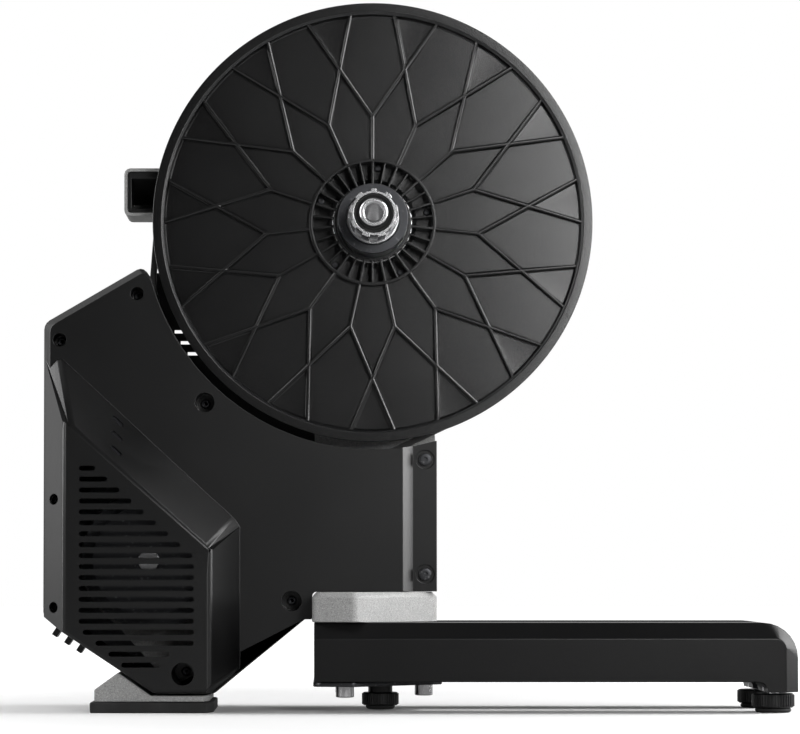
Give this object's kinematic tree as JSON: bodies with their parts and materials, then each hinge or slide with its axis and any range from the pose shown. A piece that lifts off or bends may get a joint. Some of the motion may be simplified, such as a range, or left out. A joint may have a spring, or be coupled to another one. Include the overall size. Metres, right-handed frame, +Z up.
{
  "type": "bike trainer",
  "caption": "Direct-drive indoor bike trainer: belt-driven flywheel in a vented casing, a large ribbed pulley on the hub, folding front legs and levelling feet.",
  "frame": {"origin": "on the floor, under the middle of the bounding box at rest, with the front legs folded forward", "axes": "+X forward, along the folded legs; +Y towards the non-drive side, along the hub's axis; +Z up"},
  "size_m": [0.5376, 0.163, 0.513],
  "materials": {
    "grey_casting": "shot-blasted casting with a fine grain",
    "black_moulding": "satin moulded plastic",
    "pulley_moulding": "fine-grained moulded plastic",
    "black_paint": "satin powder coat",
    "bright_steel": "machined and plated",
    "dark_steel": "blackened steel",
    "bare_aluminium": "machined",
    "black_rubber": "matt",
    "smoked_lens": "smoked, clear",
    "board_green": "solder mask"
  },
  "bodies": {
    "chassis": {"frame_casting": "grey_casting", "base_casting": "grey_casting", "leg_clamp_plate": "dark_steel", "right_leg_bolt": "bright_steel", "left_leg_bolt": "bright_steel", "front_clamp_bolt": "bright_steel", "rear_foot_casting": "grey_casting", "rear_foot_pad": "black_rubber", "rear_foot_bolt_back": "bright_steel", "rear_foot_bolt_front": "bright_steel", "drive_side_cover": "black_moulding", "left_side_cover": "black_moulding", "status_light_guide": "smoked_lens", "drive_flange_screw_low": "dark_steel", "drive_flange_screw_high": "dark_steel", "left_flange_screw_low": "dark_steel", "left_flange_screw_high": "dark_steel", "circuit_board": "board_green", "power_inlet": "black_moulding", "handle_plug": "black_moulding", "fixed_axle": "bright_steel", "drive_end_cap": "bright_steel", "left_end_cap": "bright_steel", "axle_nut": "dark_steel", "hub_bearing_far": "bright_steel", "hub_bearing_near": "bright_steel", "freehub_bearing": "bright_steel", "brake_stator": "dark_steel", "flywheel_bearing_near": "bright_steel", "flywheel_bearing_far": "bright_steel", "tensioner_arm": "dark_steel", "idler_axle": "bright_steel", "drive_belt": "black_rubber", "centre_foot_boss": "black_moulding"},
    "pulley": {"driven_pulley": "pulley_moulding", "hub_shell": "bare_aluminium", "hub_ring": "dark_steel"},
    "freehub": {"freehub_body": "bright_steel", "freehub_seal": "black_rubber"},
    "flywheel_set": {"flywheel": "dark_steel", "flywheel_shaft": "bright_steel", "shaft_pulley": "dark_steel", "shaft_nut": "dark_steel", "brake_rotor": "dark_steel"},
    "idler": {"idler_pulley": "dark_steel"},
    "right_leg_set": {"right_leg": "black_paint", "right_leg_bushing": "bright_steel", "right_foot_nut": "bright_steel"},
    "left_leg_set": {"left_leg": "black_paint", "left_leg_bushing": "bright_steel", "left_foot_nut": "bright_steel"},
    "right_foot_pad_body": {"right_foot_pad": "black_rubber"},
    "right_foot_knob_body": {"right_foot_knob": "black_moulding", "right_foot_stud": "bright_steel"},
    "left_foot_pad_body": {"left_foot_pad": "black_rubber"},
    "left_foot_knob_body": {"left_foot_knob": "black_moulding", "left_foot_stud": "bright_steel"},
    "centre_foot_pad_body": {"centre_foot_pad": "black_rubber"},
    "centre_foot_knob_body": {"centre_foot_knob": "black_moulding", "centre_foot_stud": "bright_steel"}
  },
  "joints": [
    {"name": "flywheel_spin", "type": "hinge", "parent": "chassis", "child": "flywheel_set", "pos_m": [-0.19115, -0.0105, 0.108], "axis": [0, 1, 0], "continuous": true},
    {"name": "pulley_spin", "type": "hinge", "parent": "chassis", "child": "pulley", "pos_m": [-0.03115, -0.0105, 0.3535], "axis": [0, 1, 0], "continuous": true},
    {"name": "idler_spin", "type": "hinge", "parent": "chassis", "child": "idler", "pos_m": [-0.13515, -0.0105, 0.112], "axis": [0, 1, 0], "continuous": true},
    {"name": "freehub_spin", "type": "hinge", "parent": "pulley", "child": "freehub", "pos_m": [-0.03115, -0.0765, 0.3535], "axis": [0, 1, 0], "continuous": true},
    {"name": "right_leg_swing", "type": "hinge", "parent": "chassis", "child": "right_leg_set", "pos_m": [-0.05145, -0.0485, 0.0222], "axis": [0, 0, -1], "range_deg": [0, 50]},
    {"name": "left_leg_swing", "type": "hinge", "parent": "chassis", "child": "left_leg_set", "pos_m": [-0.05145, 0.0275, 0.0222], "axis": [0, 0, 1], "range_deg": [0, 50]},
    {"name": "right_foot_travel", "type": "slide", "parent": "right_leg_set", "child": "right_foot_pad_body", "axis": [0, 0, -1], "range_m": [0, 0.012]},
    {"name": "right_foot_turn", "type": "hinge", "parent": "right_foot_pad_body", "child": "right_foot_knob_body", "pos_m": [0.25335, -0.0485, 0], "axis": [0, 0, -1], "range_deg": [-1, 2881]},
    {"name": "left_foot_travel", "type": "slide", "parent": "left_leg_set", "child": "left_foot_pad_body", "axis": [0, 0, -1], "range_m": [0, 0.012]},
    {"name": "left_foot_turn", "type": "hinge", "parent": "left_foot_pad_body", "child": "left_foot_knob_body", "pos_m": [0.25335, 0.0275, 0], "axis": [0, 0, -1], "range_deg": [-1, 2881]},
    {"name": "centre_foot_travel", "type": "slide", "parent": "chassis", "child": "centre_foot_pad_body", "axis": [0, 0, -1], "range_m": [0, 0.012]},
    {"name": "centre_foot_turn", "type": "hinge", "parent": "centre_foot_pad_body", "child": "centre_foot_knob_body", "pos_m": [-0.02555, -0.0105, 0], "axis": [0, 0, -1], "range_deg": [-1, 2881]}
  ],
  "couplings": [
    {"joint": "pulley_spin", "follows": "flywheel_spin", "ratio": 0.10046},
    {"joint": "idler_spin", "follows": "flywheel_spin", "ratio": -0.83607},
    {"joint": "right_foot_turn", "follows": "right_foot_travel", "rad_per_m": 4188.8},
    {"joint": "left_foot_turn", "follows": "left_foot_travel", "rad_per_m": 4188.8},
    {"joint": "centre_foot_turn", "follows": "centre_foot_travel", "rad_per_m": 4188.8}
  ]
}
